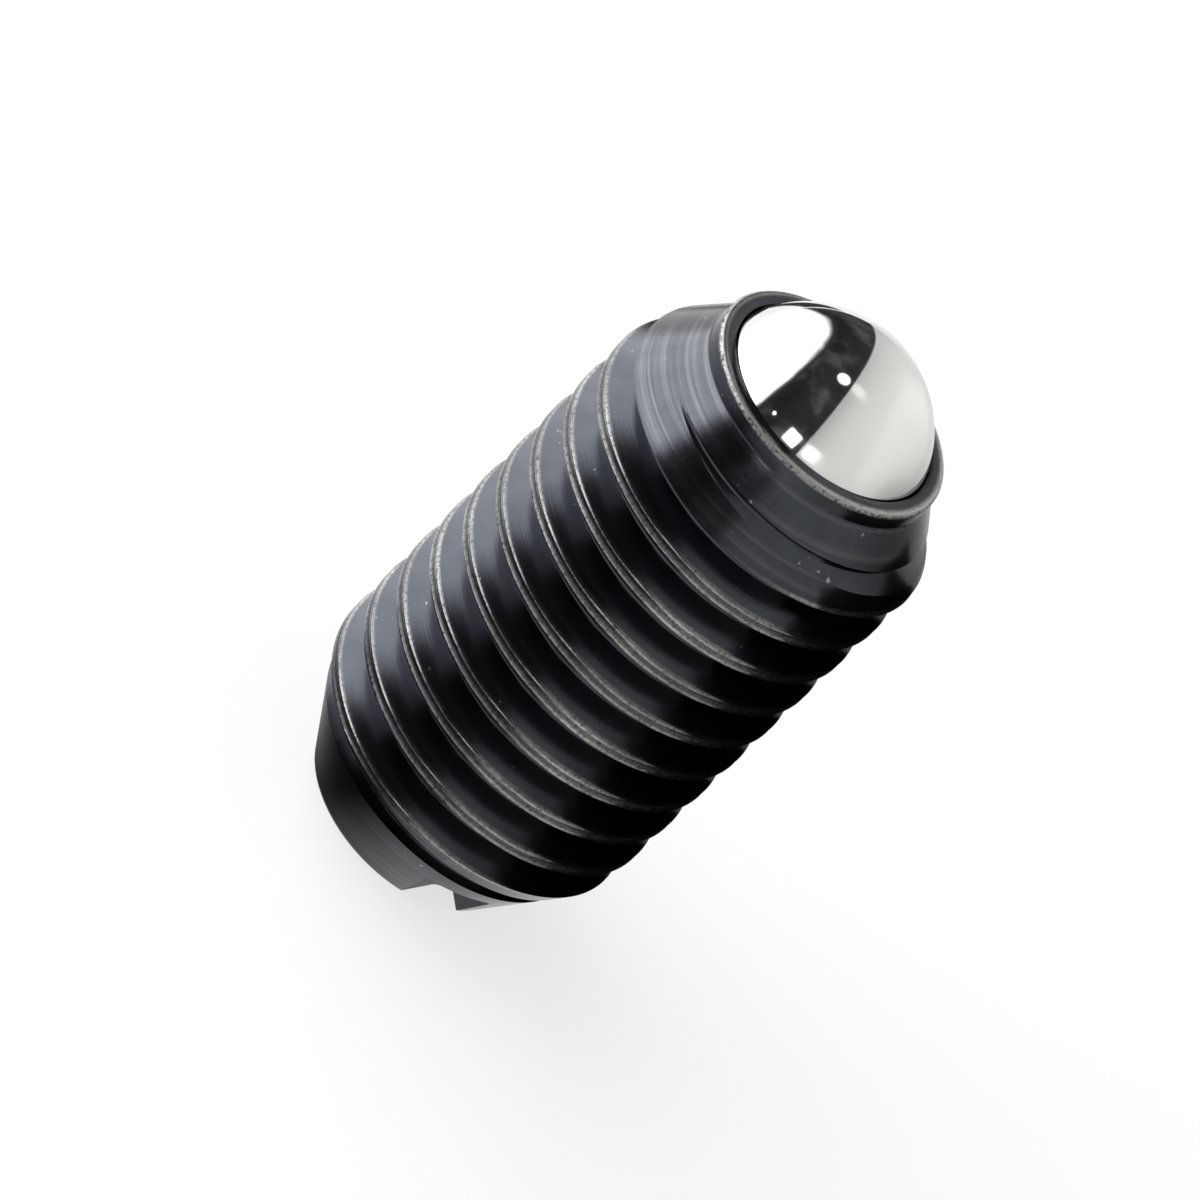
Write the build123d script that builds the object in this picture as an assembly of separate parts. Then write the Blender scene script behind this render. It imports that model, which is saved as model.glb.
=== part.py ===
from build123d import *
import os
from math import ceil, radians, sqrt, tan

# Ball spring plunger, slotted type. Millimetres.
# Origin at the centre of the rear face, +Z along the axis towards the ball, screwdriver slot along X.

# Threaded sleeve
body_length = 22.0          # rear face to nose rim
crest_diameter = 11.88      # over the thread crests, M12 with its allowance
thread_pitch = 1.75
crest_flat = 0.40           # width of the flat on each crest
root_flat = 0.20            # width of the flat in each root
flank_angle = 60.0          # between the two flanks of a groove
left_handed = True          # the thread rises clockwise when seen from the ball end
rear_face_diameter = 7.80
rear_cone_angle = 28.5      # chamfer at the rear, measured from the axis
nose_cone_angle = 34.0      # chamfer at the nose, measured from the axis
collar_height = 0.63        # short collar beyond the nose chamfer, rolled in over the ball
collar_root_radius = 0.20   # hollow between the chamfer and the collar
lip_width = 0.57            # flat ring left round the mouth
lip_edge_radius = 0.14      # rounding of that ring's outer edge

# Screwdriver slot
slot_width = 2.20
slot_depth = 1.75
slot_corner_radius = 0.25

# Bore
rear_wall = 4.50            # solid end between the rear face and the bore floor
pilot_diameter = 4.00       # drill point left in the middle of the bore floor
pilot_point_angle = 118.0

# Ball
ball_diameter = 8.00
ball_projection = 2.50      # stands this far beyond the rim, and can be pressed in as far
ball_clearance = 0.05       # between the ball and its bore, and between the ball and the lip

# Spring
wire_diameter = 1.00
spring_side_clearance = 0.45    # between the coils and the wall of the bore
active_turns = 4.5
end_coil_gap = 0.04         # left between a closed end coil and the wire it lies on
spring_ball_gap = 0.02

# Worked out from the sizes above
crest_radius = crest_diameter / 2
thread_depth = (thread_pitch - crest_flat - root_flat) / 2 / tan(radians(flank_angle / 2))
root_radius = crest_radius - thread_depth
rear_face_radius = rear_face_diameter / 2
ball_radius = ball_diameter / 2
ball_height = body_length + ball_projection - ball_radius
bore_radius = ball_radius + ball_clearance
mouth_radius = sqrt(bore_radius**2 - (body_length - ball_height) ** 2)
rim_radius = mouth_radius + lip_width
coil_radius = bore_radius - spring_side_clearance - wire_diameter / 2
coil_inner_radius = coil_radius - wire_diameter / 2
spring_bottom = rear_wall
spring_top = ball_height - sqrt(ball_radius**2 - coil_inner_radius**2) - spring_ball_gap


def sleeve_blank():
    """Turned bar with its two chamfer cones and the nose collar, before the thread and the bore are cut."""
    rear_cone_length = (crest_radius - rear_face_radius) / tan(radians(rear_cone_angle))
    nose_cone_length = (crest_radius - rim_radius) / tan(radians(nose_cone_angle))
    collar_root = body_length - collar_height
    outline = Polyline(
        (0, 0),
        (rear_face_radius, 0),
        (crest_radius, rear_cone_length),
        (crest_radius, collar_root - nose_cone_length),
        (rim_radius, collar_root),
        (rim_radius, body_length),
        (0, body_length),
        close=True,
    )
    blank = revolve(make_face(Plane.XZ * outline), Axis.Z)
    rings = blank.edges().filter_by(GeomType.CIRCLE).group_by(Axis.Z)
    blank = fillet(rings[-2], collar_root_radius)
    rim = blank.edges().filter_by(GeomType.CIRCLE).group_by(Axis.Z)[-1]
    return fillet(rim, lip_edge_radius)


def groove_turn():
    """One turn of the V groove, cut a little wider than the crest so that no skin is left over it."""
    overcut = crest_flat / 2
    slope = tan(radians(flank_angle / 2))
    root_half = root_flat / 2
    mouth_half = root_half + (thread_depth + overcut) * slope
    section = Polyline(
        (root_radius, -root_half),
        (crest_radius + overcut, -mouth_half),
        (crest_radius + overcut, mouth_half),
        (root_radius, root_half),
        close=True,
    )
    path = Helix(pitch=thread_pitch, height=thread_pitch, radius=root_radius, lefthand=left_handed)
    return sweep(make_face(Plane.XZ * section), path, is_frenet=True)


def cut_thread(blank):
    """Cut the groove turn by turn along the whole sleeve and past both ends, so that it fades into the cones."""
    turn = groove_turn()
    first = -1.5 * thread_pitch
    turns = ceil(body_length / thread_pitch) + 3
    for number in range(turns):
        blank -= Pos(0, 0, first + number * thread_pitch) * turn
    return blank


def ball_bore():
    """Blind bore with a spherical seat under the crimped lip and a drill point in its floor."""
    shaft_length = ball_height - rear_wall
    shaft = Pos(0, 0, rear_wall) * extrude(Circle(bore_radius), shaft_length)
    seat = Pos(0, 0, ball_height) * Sphere(bore_radius)
    point_depth = pilot_diameter / 2 / tan(radians(pilot_point_angle / 2))
    point_outline = Polyline(
        (0, rear_wall - point_depth),
        (pilot_diameter / 2, rear_wall),
        (0, rear_wall),
        close=True,
    )
    point = revolve(make_face(Plane.XZ * point_outline), Axis.Z)
    return shaft + seat + point


def driver_slot():
    """Straight slot across the rear face, with the rounded floor corners of a slitting saw."""
    section = Pos(0, slot_depth / 2) * Rectangle(slot_width, slot_depth)
    section = section + Pos(0, -slot_depth / 2) * Rectangle(slot_width, slot_depth)
    floor_corners = section.vertices().group_by(Axis.Y)[-1]
    section = fillet(floor_corners, slot_corner_radius)
    return extrude(Plane.YZ * section, crest_radius, both=True)


def threaded_body():
    """The sleeve: blank, thread, bore and slot."""
    return cut_thread(sleeve_blank()) - ball_bore() - driver_slot()


def ball():
    """Bearing ball at rest, standing out of the mouth by its projection."""
    return Pos(0, 0, ball_height) * Sphere(ball_radius)


def coil(start_height, pitch, turns, start_turn):
    """A length of spring wire whose round section stands in the radial plane at both ends."""
    path = Helix(pitch=pitch, height=pitch * turns, radius=coil_radius)
    wire = Pos(coil_radius, 0, 0) * (Plane.XZ * Circle(wire_diameter / 2))
    length = sweep(wire, path, is_frenet=True)
    return Pos(0, 0, start_height) * Rot(0, 0, 360 * start_turn) * length


def spring():
    """Compression spring with one closed and ground coil at each end."""
    closed_pitch = wire_diameter + end_coil_gap
    height = spring_top - spring_bottom
    active_pitch = (height - 2 * closed_pitch) / active_turns
    active_start = spring_bottom + closed_pitch
    closed_start = spring_top - closed_pitch
    wire = coil(spring_bottom, closed_pitch, 1, 0)
    wire += coil(active_start, active_pitch, active_turns, 0)
    wire += coil(closed_start, closed_pitch, 1, active_turns)
    ground_length = Pos(0, 0, spring_bottom) * extrude(Circle(bore_radius), height)
    return wire & ground_length


os.makedirs("parts", exist_ok=True)
export_step(threaded_body(), "parts/threaded_body.step")
export_step(ball(), "parts/ball.step")
export_step(spring(), "parts/spring.step")
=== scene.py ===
import bmesh
import bpy
from math import ceil, cos, pi, radians, sin, sqrt, tan
from mathutils import Matrix, Vector


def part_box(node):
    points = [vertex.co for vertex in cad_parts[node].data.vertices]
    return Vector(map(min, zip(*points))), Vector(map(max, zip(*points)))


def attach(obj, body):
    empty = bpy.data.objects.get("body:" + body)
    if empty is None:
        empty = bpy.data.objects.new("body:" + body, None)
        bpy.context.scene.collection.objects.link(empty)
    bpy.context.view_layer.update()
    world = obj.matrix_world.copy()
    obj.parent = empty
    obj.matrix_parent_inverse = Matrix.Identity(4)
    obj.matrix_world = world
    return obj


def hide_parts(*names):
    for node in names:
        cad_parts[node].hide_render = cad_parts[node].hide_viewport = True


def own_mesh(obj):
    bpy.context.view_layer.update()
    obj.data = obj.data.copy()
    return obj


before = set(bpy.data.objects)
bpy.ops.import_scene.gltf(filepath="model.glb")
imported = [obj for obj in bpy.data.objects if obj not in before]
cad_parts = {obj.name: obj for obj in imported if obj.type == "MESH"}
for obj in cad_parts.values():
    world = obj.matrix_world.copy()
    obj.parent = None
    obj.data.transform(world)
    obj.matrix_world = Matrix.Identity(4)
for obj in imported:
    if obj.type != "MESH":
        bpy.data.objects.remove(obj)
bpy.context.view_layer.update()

# ---------------------------------------------------------------- threaded body
# The sleeve is one piece of free-cutting steel: a bar is chamfered at both ends, threaded from end to end, bored from
# the nose and slotted at the rear. The nose lip is rolled over the ball after that, and the whole is blacked in hot
# salts, so the finish is a thin blue-black oxide that has worn through on the crests and along the rim.

MM = 0.001
weld = 1e-8  # how far apart two points may lie that are one point
near = 1e-6  # how far a point may lie from the place where it is looked for

body_low, body_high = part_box("threaded_body")
ball_low, ball_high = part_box("ball")
spring_low, spring_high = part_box("spring")
body_length = body_high.z - body_low.z

crest_radius = (body_high.x - body_low.x) / 2
thread_pitch = 1.75 * MM
crest_flat = 0.40 * MM
crest_seam = 0.08 * MM
crest_lift = 0.026 * MM
crest_rounding = 0.090 * MM
seam_rounding = 0.060 * MM
root_flat = 0.20 * MM
root_rounding = 0.070 * MM
flank_slope = tan(radians(30))
thread_depth = (thread_pitch - crest_flat - root_flat) / 2 / flank_slope
root_radius = crest_radius - thread_depth
steps_per_turn = 180

ball_radius = (ball_high.z - ball_low.z) / 2
ball_height = (ball_high.z + ball_low.z) / 2
ball_clearance = 0.05 * MM
bore_radius = ball_radius + ball_clearance
bore_floor = spring_low.z
drill_point_radius = 2.0 * MM
drill_point_slope = tan(radians(59))
seat_steps = 8

mouth_radius = sqrt(bore_radius**2 - (body_length - ball_height) ** 2)
lip_width = 0.57 * MM
rim_radius = mouth_radius + lip_width
collar_height = 0.63 * MM
collar_root = body_length - collar_height
nose_slope = tan(radians(34))
rear_face_radius = 3.90 * MM
rear_slope = tan(radians(28.5))


def chain(points):
    """A bmesh holding one open line of edges through points given as (radius, height)."""
    made = bmesh.new()
    verts = [made.verts.new((radius, 0, height)) for radius, height in points]
    for first, second in zip(verts, verts[1:]):
        made.edges.new((first, second))
    return made


def round_corners(made, places, width, segments):
    """Rounds the corners of an open line that lie at these places, given as (radius, height)."""
    corners = [
        vert
        for vert in made.verts
        if any(abs(vert.co.x - radius) < near and abs(vert.co.z - height) < near for radius, height in places)
    ]
    bmesh.ops.bevel(
        made, geom=corners, offset=width, offset_type="OFFSET", segments=segments, profile=0.5,
        affect="VERTICES", material=-1,
    )


def turn_round(made, steps):
    """Spins the line once about Z and closes the seam and the poles."""
    bmesh.ops.spin(
        made, geom=made.verts[:] + made.edges[:], cent=(0, 0, 0), axis=(0, 0, 1), dvec=(0, 0, 0),
        angle=2 * pi, steps=steps, use_merge=True,
    )
    bmesh.ops.remove_doubles(made, verts=made.verts[:], dist=weld)
    bmesh.ops.recalc_face_normals(made, faces=made.faces[:])


def cut_off(made, height, side):
    """Cuts the mesh square at a height and drops what lies above it, or below it where side is -1."""
    bmesh.ops.bisect_plane(
        made, geom=made.verts[:] + made.edges[:] + made.faces[:], dist=weld,
        plane_co=(0, 0, height), plane_no=(0, 0, side), clear_outer=True,
    )


def smooth(made):
    for face in made.faces:
        face.smooth = True


def to_object(made, name):
    """Turns the bmesh into an object of this name."""
    mesh = bpy.data.meshes.new(name)
    made.to_mesh(mesh)
    made.free()
    piece = bpy.data.objects.new(name, mesh)
    bpy.context.scene.collection.objects.link(piece)
    return piece


def threaded_bar():
    """Bar with the thread cut from end to end, longer than the sleeve at both ends.

    The crest corners stand crest_lift proud, which is what their rounding takes off again.
    """
    corner_radius = crest_radius + crest_lift
    half_crest = crest_flat / 2
    half_root = root_flat / 2
    turns = range(-2, ceil(body_length / thread_pitch) + 2)
    crest_edges = [(corner_radius, turn * thread_pitch + side) for turn in turns for side in (-half_crest, half_crest)]
    valleys = [(corner_radius - crest_seam, turn * thread_pitch) for turn in turns]
    root_edges = [
        (root_radius, (turn + 0.5) * thread_pitch + side) for turn in turns for side in (-half_root, half_root)
    ]
    made = chain(sorted(crest_edges + valleys + root_edges, key=lambda point: point[1]))

    # The first crest edge and the last root edge are the line's two ends, so they have no corner to round.
    round_corners(made, crest_edges[1:], crest_rounding, 4)
    round_corners(made, valleys, seam_rounding, 2)
    round_corners(made, root_edges[:-1], root_rounding, 2)

    # A left-hand turn lifts the line by one pitch onto itself, so the weld takes up what its steps round off.
    bmesh.ops.spin(
        made, geom=made.verts[:] + made.edges[:], cent=(0, 0, 0), axis=(0, 0, 1),
        dvec=(0, 0, thread_pitch / steps_per_turn), angle=-2 * pi, steps=steps_per_turn,
    )
    bmesh.ops.remove_doubles(made, verts=made.verts[:], dist=2 * near)

    overrun = 0.4 * thread_pitch
    for height, side in ((-overrun, -1), (body_length + overrun, 1)):
        cut_off(made, height, side)
        border = [edge for edge in made.edges if edge.is_boundary and abs(edge.verts[0].co.z - height) < near]
        bmesh.ops.edgeloop_fill(made, edges=border)
    bmesh.ops.recalc_face_normals(made, faces=made.faces[:])
    return to_object(made, "threaded_bar")


def sleeve_blank():
    """The turned sleeve without its thread: cones outside, blind bore and rolled lip inside."""
    thread_stock = 0.6 * MM
    stock_radius = crest_radius + thread_stock
    rear_cone_top = (stock_radius - rear_face_radius) / rear_slope
    nose_cone_foot = collar_root - (stock_radius - rim_radius) / nose_slope
    seat = []
    for step in range(seat_steps + 1):
        height = ball_height + (body_length - ball_height) * step / seat_steps
        seat.append((sqrt(bore_radius**2 - (height - ball_height) ** 2), height))
    mouth = seat[-1]
    rim = (rim_radius, body_length)
    collar_foot = (rim_radius, collar_root)
    rear_edge = (rear_face_radius, 0)
    made = chain([
        (0, 0),
        rear_edge,
        (stock_radius, rear_cone_top),
        (stock_radius, nose_cone_foot),
        collar_foot,
        rim,
        *reversed(seat),
        (bore_radius, bore_floor),
        (drill_point_radius, bore_floor),
        (0, bore_floor - drill_point_radius / drill_point_slope),
    ])
    for corner, width, segments in (
        (rim, 0.14 * MM, 5),
        (collar_foot, 0.06 * MM, 4),
        (mouth, 0.04 * MM, 3),
        (rear_edge, 0.06 * MM, 3),
    ):
        round_corners(made, [corner], width, segments)
    turn_round(made, steps_per_turn)
    return to_object(made, "sleeve_blank")


def slot_cutter():
    """The slitting saw's path across the rear face."""
    width, depth, overcut = 2.2 * MM, 1.75 * MM, 1.0 * MM
    floor_rounding = 0.25 * MM
    made = bmesh.new()
    bmesh.ops.create_cube(made, size=1.0)
    bmesh.ops.scale(made, verts=made.verts[:], vec=(4 * crest_radius, width, depth + overcut))
    bmesh.ops.translate(made, verts=made.verts[:], vec=(0, 0, (depth - overcut) / 2))
    floor_edges = [
        edge for edge in made.edges
        if all(vert.co.z > 0 for vert in edge.verts) and abs(edge.verts[0].co.x - edge.verts[1].co.x) > width
    ]
    bmesh.ops.bevel(
        made, geom=floor_edges, offset=floor_rounding, offset_type="OFFSET", segments=5, profile=0.5,
        affect="EDGES", material=-1,
    )
    return to_object(made, "slot_cutter")


def cut(piece, other, operation):
    """Applies a boolean of piece with other, and throws other away."""
    modifier = piece.modifiers.new(operation, "BOOLEAN")
    modifier.operation = operation
    modifier.solver = "EXACT"
    modifier.object = other
    evaluated = piece.evaluated_get(bpy.context.evaluated_depsgraph_get())
    mesh = bpy.data.meshes.new_from_object(evaluated)
    piece.modifiers.clear()
    piece.data = mesh
    bpy.data.objects.remove(other)


def shade(piece, sharp_angle):
    """Smooth shading with the corners sharper than sharp_angle kept."""
    made = bmesh.new()
    made.from_mesh(piece.data)
    bmesh.ops.remove_doubles(made, verts=made.verts[:], dist=weld)
    bmesh.ops.dissolve_degenerate(made, edges=made.edges[:], dist=weld)
    smooth(made)
    for edge in made.edges:
        if len(edge.link_faces) == 2 and edge.calc_face_angle() > sharp_angle:
            edge.smooth = False
    made.to_mesh(piece.data)
    made.free()


sleeve = sleeve_blank()
cut(sleeve, threaded_bar(), "INTERSECT")
cut(sleeve, slot_cutter(), "DIFFERENCE")
shade(sleeve, sharp_angle=radians(24))
sleeve.name = "sleeve"
sleeve.data.name = "sleeve"


class Wire:
    """One socket of a finish. Sums of wires and numbers add the Math nodes that work them out."""

    def __init__(self, finish, socket):
        self.finish = finish
        self.socket = socket

    def outputs(self, *names):
        """Wires from these outputs of the node that this wire comes from."""
        return [Wire(self.finish, self.socket.node.outputs[name]) for name in names]

    def math(self, operation, *others):
        return self.finish.math(operation, self, *others)

    def __add__(self, other):
        return self.math("ADD", other)

    def __sub__(self, other):
        return self.math("SUBTRACT", other)

    def __rsub__(self, other):
        return self.finish.math("SUBTRACT", other, self)

    def __mul__(self, other):
        return self.math("MULTIPLY", other)

    def __truediv__(self, other):
        return self.math("DIVIDE", other)

    def __rtruediv__(self, other):
        return self.finish.math("DIVIDE", other, self)

    def __abs__(self):
        return self.math("ABSOLUTE")

    __radd__ = __add__
    __rmul__ = __mul__


class Finish:
    """A procedural material: its node tree, and the ways of adding to it."""

    def __init__(self, name):
        self.material = bpy.data.materials.new(name)
        self.material.use_nodes = True
        self.tree = self.material.node_tree
        self.tree.nodes.clear()

    def node(self, kind, settings=None, inputs=None, output=0):
        """Adds a node, sets it up, then fills its sockets with numbers, colours or wires."""
        made = self.tree.nodes.new("ShaderNode" + kind)
        for name, value in (settings or {}).items():
            setattr(made, name, value)
        for name, value in (inputs or {}).items():
            if isinstance(value, Wire):
                self.tree.links.new(value.socket, made.inputs[name])
            else:
                made.inputs[name].default_value = value
        return Wire(self, made.outputs[output]) if made.outputs else None

    def place(self):
        """Where a point lies on its piece, in metres."""
        return self.node("TexCoord", output="Object")

    def place_in_mm(self):
        return self.node("VectorMath", {"operation": "SCALE"}, {0: self.place(), "Scale": 1 / MM})

    def vector(self, x, y, z):
        return self.node("CombineXYZ", None, {0: x, 1: y, 2: z})

    def math(self, operation, *values):
        return self.node("Math", {"operation": operation}, dict(enumerate(values)))

    def ease(self, value, start, end):
        """0 before start and 1 after end, with a smooth rise between them."""
        return self.node(
            "MapRange", {"interpolation_type": "SMOOTHSTEP"}, {"Value": value, "From Min": start, "From Max": end}
        )

    def band(self, value, middle, inner, outer):
        """1 within inner of the middle and 0 beyond outer, with a smooth fall between them."""
        return 1 - self.ease(abs(value - middle), inner, outer)

    def noise(self, place, scale, detail, roughness=0.5):
        return self.node("TexNoise", None, {
            "Vector": place, "Scale": scale, "Detail": detail, "Roughness": roughness,
        })

    def colour(self, factor, first, second):
        """A colour from first to second as the factor goes from 0 to 1. A Mix node's colour sockets go by number."""
        return self.node("Mix", {"data_type": "RGBA"}, {0: factor, 6: first, 7: second}, 2)

    def surface(self, bsdf_inputs):
        return self.show(self.node("BsdfPrincipled", None, bsdf_inputs))

    def show(self, shader):
        """Ends the finish with this shader and gives its material."""
        self.node("OutputMaterial", None, {"Surface": shader})
        return self.material


def black_oxide():
    """Blue-black oxide over turned steel, worn to grey on the thread crests, the rim and the cut edges.

    Every length in here is in millimetres, and every mask is 1 on what it is named for.
    """
    finish = Finish("black_oxide")
    place = finish.place_in_mm()
    x, y, z = finish.node("SeparateXYZ", None, {0: place}).outputs("X", "Y", "Z")
    radius = (x * x + y * y).math("SQRT")
    turn = y.math("ARCTAN2", x) / (2 * pi)
    pitch = thread_pitch / MM
    crest = crest_radius / MM
    rim = rim_radius / MM
    length = body_length / MM

    # The thread: across is the distance from the middle of the nearest crest, and along counts turns of the helix.
    turns_up = z / pitch + turn + 0.5
    across = abs(turns_up.math("FRACT") - 0.5) * pitch
    along = turn - turns_up.math("FLOOR")
    ridge_offset = 0.14
    on_crest = finish.ease(radius, crest - 0.13, crest - 0.05)
    ridge = on_crest * finish.band(across, ridge_offset, 0.015, 0.075)
    seam = on_crest * (1 - finish.ease(across, 0.05, 0.11))

    # The ends: both cones, the flat of the lip and its rounded outer edge.
    nose_cone = (collar_root / MM - z) * nose_slope + rim
    rear_cone = z * rear_slope + rear_face_radius / MM
    on_cone = finish.band(radius, nose_cone.math("MINIMUM", rear_cone), 0.01, 0.03)
    outside = finish.ease(radius, rim - 0.3, rim - 0.1)
    on_lip = finish.ease(z, length - 0.05, length - 0.02) * outside
    rim_edge = finish.band(radius, rim - 0.05, 0.03, 0.09) * finish.ease(z, length - 0.2, length - 0.1)

    # What varies by chance, and the marks of the tools, which run round the axis and close on themselves.
    grain = finish.noise(place, 9.0, 6.0, 0.6)
    cloud = finish.noise(place, 1.1, 3.0)
    rubbed = finish.ease(finish.noise(place, 0.42, 2.0), 0.44, 0.62)
    speck = finish.ease(finish.noise(place, 3.1, 2.0), 0.72, 0.78)
    thread_marks = finish.noise(finish.vector(radius * 14, across * 14, along * 5), 1.0, 3.0)
    ring = 0.48
    cone_marks = finish.noise(finish.vector(z * 9, x / radius * ring, y / radius * ring), 1.0, 4.0)
    marks = thread_marks + (cone_marks - thread_marks) * on_cone

    # The oxide, and over it each kind of wear with the steel that it has laid bare.
    base = finish.colour(cloud, (0.042, 0.045, 0.053, 1), (0.068, 0.073, 0.085, 1))
    worn = (0.48, 0.48, 0.46, 1)
    grey = (0.15, 0.155, 0.16, 1)
    satin = (0.22, 0.22, 0.215, 1)
    bright = (0.34, 0.335, 0.32, 1)
    for wear, steel in (
        (on_crest * (0.5 + rubbed * 0.4) * finish.ease(grain, 0.30, 0.58), satin),
        (on_cone * outside * finish.ease(marks, 0.40, 0.75) * 0.45, grey),
        (ridge * (0.6 + rubbed * 0.4) * finish.ease(grain, 0.27, 0.58), worn),
        (speck * 0.5, worn),
        (on_lip * finish.ease(grain, 0.25, 0.52), worn),
        (rim_edge * finish.ease(grain, 0.38, 0.56), bright),
    ):
        base = finish.colour(wear, base, steel)

    relief = marks * 0.5 + grain * 0.35 + speck * 0.6
    return finish.surface({
        "Base Color": base,
        "Metallic": 1.0,
        "Roughness": 0.15 + grain * 0.10 + seam.math("MAXIMUM", rim_edge) * 0.26,
        "Normal": finish.node("Bump", None, {"Strength": 0.35, "Distance": 0.012 * MM, "Height": relief}),
    })


sleeve.data.materials.clear()
sleeve.data.materials.append(black_oxide())
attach(sleeve, "sleeve")
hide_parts("threaded_body")

# ---------------------------------------------------------------- ball
# A bearing ball of hardened chrome steel, ground and lapped to a mirror. It is dropped into the bore on top of the
# spring, and the rolled lip keeps it in.

ball_segments = 192


def lapped_ball():
    made = bmesh.new()
    bmesh.ops.create_uvsphere(made, u_segments=ball_segments, v_segments=ball_segments // 2, radius=ball_radius)
    bmesh.ops.translate(made, verts=made.verts[:], vec=(0, 0, ball_height))
    smooth(made)
    return to_object(made, "bearing_ball")


def mirror_steel():
    """Lapped steel: a mirror with the faintest haze of handling."""
    finish = Finish("mirror_steel")
    haze = finish.noise(finish.place(), 420.0, 4.0)
    return finish.surface({
        "Base Color": finish.colour(haze, (0.78, 0.78, 0.77, 1), (0.82, 0.82, 0.81, 1)),
        "Metallic": 1.0,
        "Roughness": 0.06 + finish.ease(haze, 0.35, 0.75) * 0.04,
    })


bearing_ball = lapped_ball()
bearing_ball.data.materials.append(mirror_steel())
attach(bearing_ball, "ball")
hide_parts("ball")

# ---------------------------------------------------------------- spring
# A compression spring of drawn music wire, closed and ground flat at both ends. It stands on the floor of the bore and
# carries the ball, and it shortens as the ball is pressed in.

wire_radius = 0.5 * MM
wire_segments = 20
coil_radius = (spring_high.x - spring_low.x) / 2 - wire_radius
coil_gap = 0.04 * MM
closed_pitch = 2 * wire_radius + coil_gap
active_turns = 4.5
spring_length = spring_high.z - spring_low.z
active_pitch = (spring_length - 2 * closed_pitch) / active_turns
coil_steps = 72


def wound_spring():
    """One round section of wire, spun up through a closed coil, the working coils and another closed coil."""
    made = bmesh.new()
    section = bmesh.ops.create_circle(
        made, segments=wire_segments, radius=wire_radius,
        matrix=Matrix.Translation((coil_radius, 0, spring_low.z)) @ Matrix.Rotation(radians(90), 4, "X"),
    )
    tip = section["verts"] + made.edges[:]
    for turns, pitch in ((1, closed_pitch), (active_turns, active_pitch), (1, closed_pitch)):
        steps = round(coil_steps * turns)
        wound = bmesh.ops.spin(
            made, geom=tip, cent=(0, 0, 0), axis=(0, 0, 1), dvec=(0, 0, pitch * turns / steps),
            angle=2 * pi * turns, steps=steps,
        )
        tip = wound["geom_last"]
    for height, side in ((spring_low.z, -1), (spring_high.z, 1)):
        cut_off(made, height, side)
    bmesh.ops.remove_doubles(made, verts=made.verts[:], dist=weld)
    bmesh.ops.holes_fill(made, edges=[edge for edge in made.edges if edge.is_boundary])
    bmesh.ops.recalc_face_normals(made, faces=made.faces[:])
    return to_object(made, "compression_spring")


def spring_wire():
    """Drawn wire with a patented grey skin and a fine grain."""
    finish = Finish("spring_wire")
    grain = finish.noise(finish.place(), 9000.0, 4.0)
    return finish.surface({
        "Base Color": finish.colour(grain, (0.26, 0.25, 0.24, 1), (0.46, 0.45, 0.43, 1)),
        "Metallic": 1.0,
        "Roughness": 0.32 + grain * 0.12,
        "Normal": finish.node("Bump", None, {"Strength": 0.2, "Distance": 0.005 * MM, "Height": grain}),
    })


compression_spring = wound_spring()
shade(compression_spring, sharp_angle=radians(40))
compression_spring.data.materials.append(spring_wire())
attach(compression_spring, "sleeve")
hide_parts("spring")
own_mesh(compression_spring)

# ---------------------------------------------------------------- studio and camera
# The plunger stands on a pale floor in a pale room, with a large soft lamp on its left and three small ones. Black
# drapes and tulle round the large lamp leave a dark belt in the mirror of the ball, and a glazed white board behind
# the ball sets what else the metal mirrors. Black nets round the sleeve are painted shade, which the metal mirrors
# in place of the lit floor and board.

camera_azimuth = radians(50.5)
camera_rise = radians(33.58)
camera_roll = radians(45.8)
toward_camera = Vector((sin(camera_azimuth), -cos(camera_azimuth), 0))
camera_side = Vector((cos(camera_azimuth), sin(camera_azimuth), 0))
circle_segments = 96


def at(ahead, aside, up):
    """A place or direction: so far ahead of the axis towards the camera, aside to the camera's right, and up."""
    return toward_camera * ahead + camera_side * aside + Vector((0, 0, up))


camera_place = at(0.2349, -0.00066, 0.1667)
softbox_direction = at(-0.161, -0.987, 0)
board_front = at(0.1435, -0.990, 0)


def add_camera():
    """A camera with a long lens, rolled about its own line of sight."""
    data = bpy.data.cameras.new("camera")
    data.lens = 270
    data.sensor_width = 36
    data.clip_start = 0.01
    camera = bpy.data.objects.new("camera", data)
    bpy.context.scene.collection.objects.link(camera)
    level_up = at(-sin(camera_rise), 0, cos(camera_rise))
    right = level_up * sin(camera_roll) + camera_side * cos(camera_roll)
    up = level_up * cos(camera_roll) - camera_side * sin(camera_roll)
    back = at(cos(camera_rise), 0, sin(camera_rise))
    camera.matrix_world = Matrix.Translation(camera_place) @ Matrix((right, up, back)).transposed().to_4x4()
    bpy.context.scene.camera = camera


def turned_to(front, middle):
    """The matrix that puts something at middle with its own Z along front."""
    return Matrix.Translation(middle) @ front.to_track_quat("Z", "Y").to_matrix().to_4x4()


def around_nose(direction, distance):
    """The matrix that puts something this far from the nose, with its own Z pointing away from it."""
    away = direction.normalized()
    return turned_to(away, away * distance + Vector((0, 0, body_length)))


def behind_ball(distance):
    """The matrix that puts something this far behind the middle of the ball, facing as the white board does."""
    return turned_to(board_front, Vector((0, 0, ball_height)) - board_front * distance)


def add_lamp(name, shape, direction, distance, size, radiance):
    """A soft lamp that lights the plunger. Its radiance is what a mirror would show of it."""
    data = bpy.data.lights.new(name, "AREA")
    data.shape = shape
    data.size = size
    area = size**2 * (pi / 4 if shape == "DISK" else 1)
    data.energy = radiance * pi * area
    lamp = bpy.data.objects.new(name, data)
    bpy.context.scene.collection.objects.link(lamp)
    lamp.matrix_world = around_nose(direction, distance)


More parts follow.
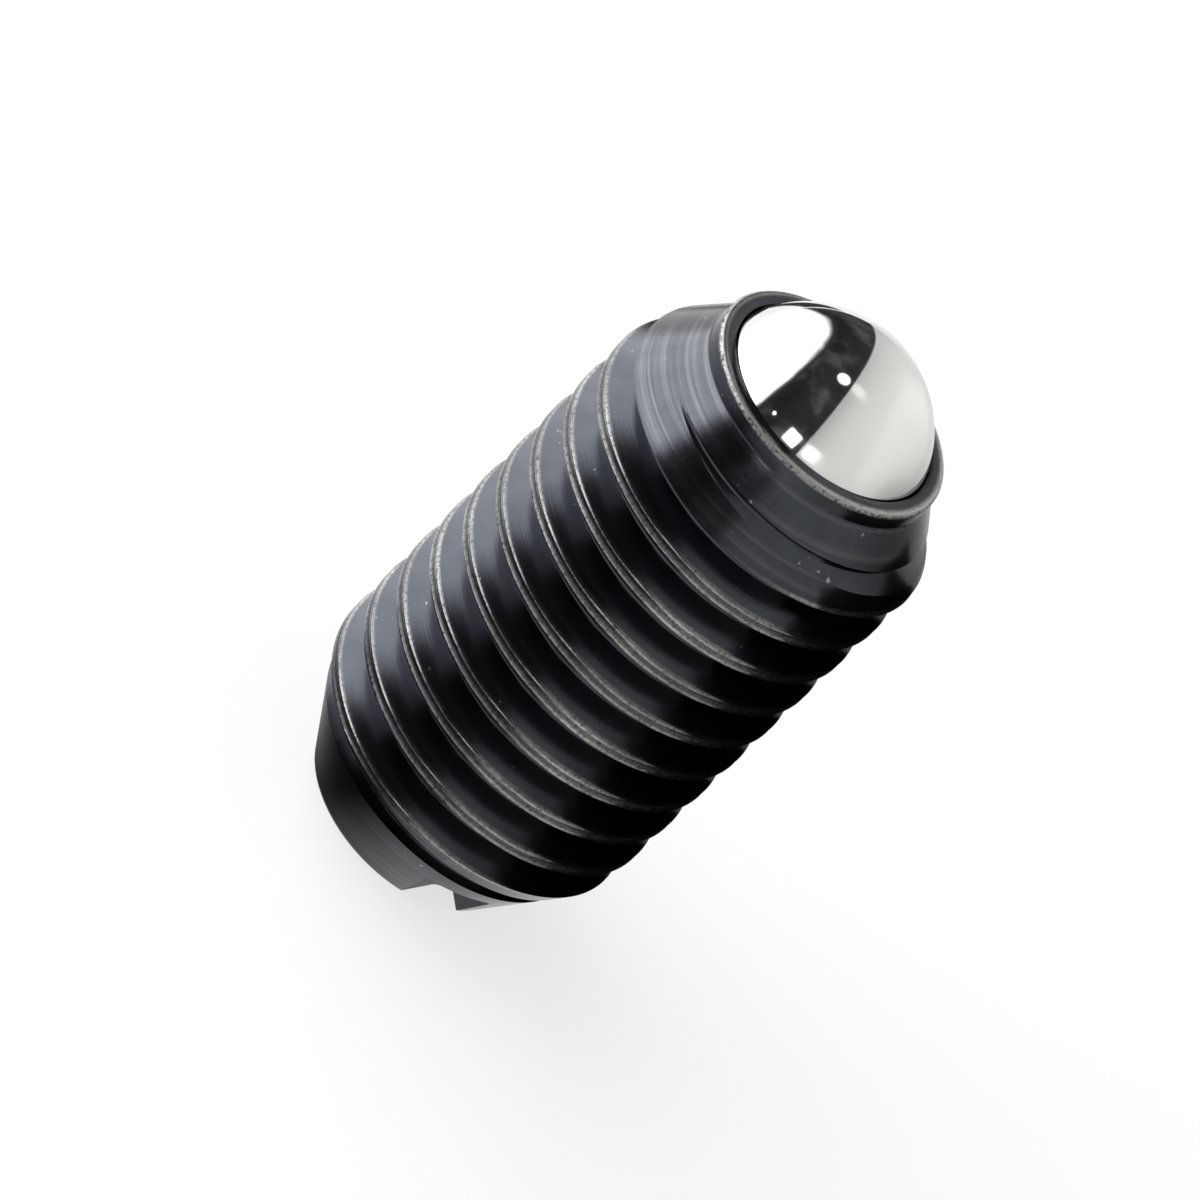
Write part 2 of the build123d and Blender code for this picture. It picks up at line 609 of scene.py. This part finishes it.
def add_card(made, name, material, matrix=Matrix()):
    """Puts up something that shows only where the metal mirrors it."""
    card = to_object(made, name)
    card.matrix_world = matrix
    card.data.materials.append(material)
    card.visible_camera = False
    card.visible_diffuse = False
    card.visible_shadow = False
    card.visible_transmission = False


def add_drapes():
    """A ring of black cloth round the large lamp, from the level of the white board outwards."""
    radius, height, distance = 0.70, 1.00, 0.03
    made = bmesh.new()
    bmesh.ops.create_circle(made, segments=circle_segments, radius=radius)
    grown = bmesh.ops.extrude_edge_only(made, edges=made.edges[:])
    top = [item for item in grown["geom"] if isinstance(item, bmesh.types.BMVert)]
    bmesh.ops.translate(made, verts=top, vec=(0, 0, height))
    smooth(made)
    finish = Finish("black_cloth")
    fold = finish.ease(finish.noise(finish.place(), 3.0, 3.0), 0.45, 0.72)
    cloth = finish.surface({
        "Base Color": finish.colour(fold, (0.008, 0.007, 0.007, 1), (0.075, 0.085, 0.095, 1)),
        "Roughness": 0.9,
    })
    add_card(made, "drapes", cloth, behind_ball(distance))


def sheer(finish, cover):
    """Black net that hides what is behind it where cover is 1 and lets it show where cover is 0."""
    clear = finish.node("BsdfTransparent")
    # The same black serves the tulle and the nets of painted shade.
    black = finish.node("BsdfDiffuse", None, {"Color": (0.03, 0.03, 0.033, 1)})
    return finish.show(finish.node("MixShader", None, {0: cover, 1: clear, 2: black}))


def add_tulle():
    """Black tulle round the rim of the large lamp, just in front of it, which softens its edge in the ball."""
    inner_radius, outer_radius, distance = 0.36, 0.53, 0.345
    made = bmesh.new()
    for radius in (inner_radius, outer_radius):
        bmesh.ops.create_circle(made, segments=circle_segments, radius=radius)
    bmesh.ops.bridge_loops(made, edges=made.edges[:])
    finish = Finish("black_tulle")
    place = finish.place()
    from_middle = finish.node("VectorMath", {"operation": "LENGTH"}, {0: place}, "Value")
    wavy = from_middle + finish.noise(place, 4.5, 3.0) * 0.10
    add_card(made, "tulle", sheer(finish, finish.ease(wavy, 0.395, 0.540)), around_nose(softbox_direction, distance))


def add_board():
    """A glazed white board close behind the ball, facing the large lamp."""
    radius, distance = 0.33, 0.0066
    made = bmesh.new()
    bmesh.ops.create_circle(made, segments=circle_segments, radius=radius, cap_ends=True)
    finish = Finish("white_board")
    grain = finish.noise(finish.place(), 30.0, 3.0)
    glazed = finish.surface({
        "Base Color": finish.colour(grain, (0.38, 0.385, 0.372, 1), (0.42, 0.425, 0.412, 1)),
        "Roughness": 0.6,
        "Coat Weight": 0.7,
        "Coat Roughness": 0.20,
    })
    add_card(made, "white_board", glazed, behind_ball(distance))


def on_floor(ahead, aside):
    """A place just over the floor, in millimetres."""
    clearance = 0.1
    return at(ahead, aside, clearance) * MM


def beside_sleeve(ahead, up):
    """A place on an upright plane just clear of the sleeve's right side, in millimetres."""
    distance = 6.45
    return at(ahead, distance, up) * MM


def foot_shade_cover(finish):
    """Cover of the painted shade in front of the sleeve: full in front of it, fading out behind it and beside its
    foot.
    """
    place = finish.place_in_mm()
    ahead, aside = (
        finish.node("VectorMath", {"operation": "DOT_PRODUCT"}, {0: place, 1: tuple(axis)}, "Value")
        for axis in (toward_camera, camera_side)
    )
    beside = finish.ease(aside - ahead * 0.3, -3.8, 0.8) * (1 - finish.ease(ahead, 8.0, 15.0))
    return finish.ease(ahead, -5.0, 4.0) * (1 - beside)


def whole(finish):
    """Cover that is full everywhere."""
    return 1.0


def add_shade_net(name, corners, cover):
    """A flat piece of black net with these corners, which paints shade into what the metal mirrors."""
    made = bmesh.new()
    made.faces.new([made.verts.new(corner) for corner in corners])
    finish = Finish(name)
    add_card(made, name, sheer(finish, cover(finish)))


def add_floor():
    """A pale matt floor that is seen and mirrored as nearly white, and keeps some of the plunger's shadow."""
    made = bmesh.new()
    bmesh.ops.create_circle(made, segments=128, radius=1.5, cap_ends=True)
    floor = to_object(made, "floor")
    whiteness = 0.7
    finish = Finish("pale_floor")
    seen, *mirrored = finish.node("LightPath").outputs("Is Camera Ray", "Is Glossy Ray", "Is Transmission Ray")
    for ray in mirrored:
        seen = seen.math("MAXIMUM", ray)
    matt = finish.node("BsdfDiffuse", None, {"Color": (0.95, 0.95, 0.95, 1)})
    glow = finish.node("Emission", None, {"Color": (1, 1, 1, 1), "Strength": 1.0})
    shader = finish.node("MixShader", None, {0: seen * whiteness, 1: matt, 2: glow})
    floor.data.materials.append(finish.show(shader))


def add_world():
    """The pale walls of the room, which light the plunger evenly."""
    world = bpy.data.worlds.new("pale_room")
    world.use_nodes = True
    background = world.node_tree.nodes["Background"]
    background.inputs["Color"].default_value = (0.50, 0.505, 0.495, 1)
    background.inputs["Strength"].default_value = 1.0
    bpy.context.scene.world = world


add_camera()
add_floor()
add_world()
add_drapes()
add_tulle()
add_board()
# Painted shade: a black net on the floor in front of the sleeve, seen only in the metal, which darkens what the crests
# and the rear cone mirror.
add_shade_net("front_shade_net", [on_floor(*spot) for spot in ((-6, 6.4), (50, 6.4), (50, -40), (-6, -40))], foot_shade_cover)
# Painted shadow: a long black strip on the floor behind the plunger, seen only in the metal, standing in for a shadow
# on the floor.
add_shade_net("back_shade_net", [on_floor(*spot) for spot in ((-46, -14), (-46, -19), (-330, -160), (-330, -82))], whole)
# Painted shadow: a black net upright just clear of the sleeve's right side, seen only in the metal, standing in for
# the plunger's own shadow on the white board beside it.
add_shade_net("side_shade_net", [beside_sleeve(*spot) for spot in ((-9, -12), (4.5, -12), (4.5, 20.5), (-9, 20.5))], whole)
add_lamp("side_softbox", "DISK", softbox_direction, distance=0.35, size=1.02, radiance=3.6)
add_lamp("small_lamp", "DISK", at(-0.02, -0.13, 0.99), distance=0.45, size=0.085, radiance=1.6)
add_lamp("far_lamp", "DISK", at(0.80, -0.50, 0.34), distance=0.45, size=0.022, radiance=4.0)
add_lamp("window", "SQUARE", at(0.94, -0.06, 0.34), distance=0.45, size=0.098, radiance=5.0)
bpy.context.scene.view_settings.view_transform = "Standard"
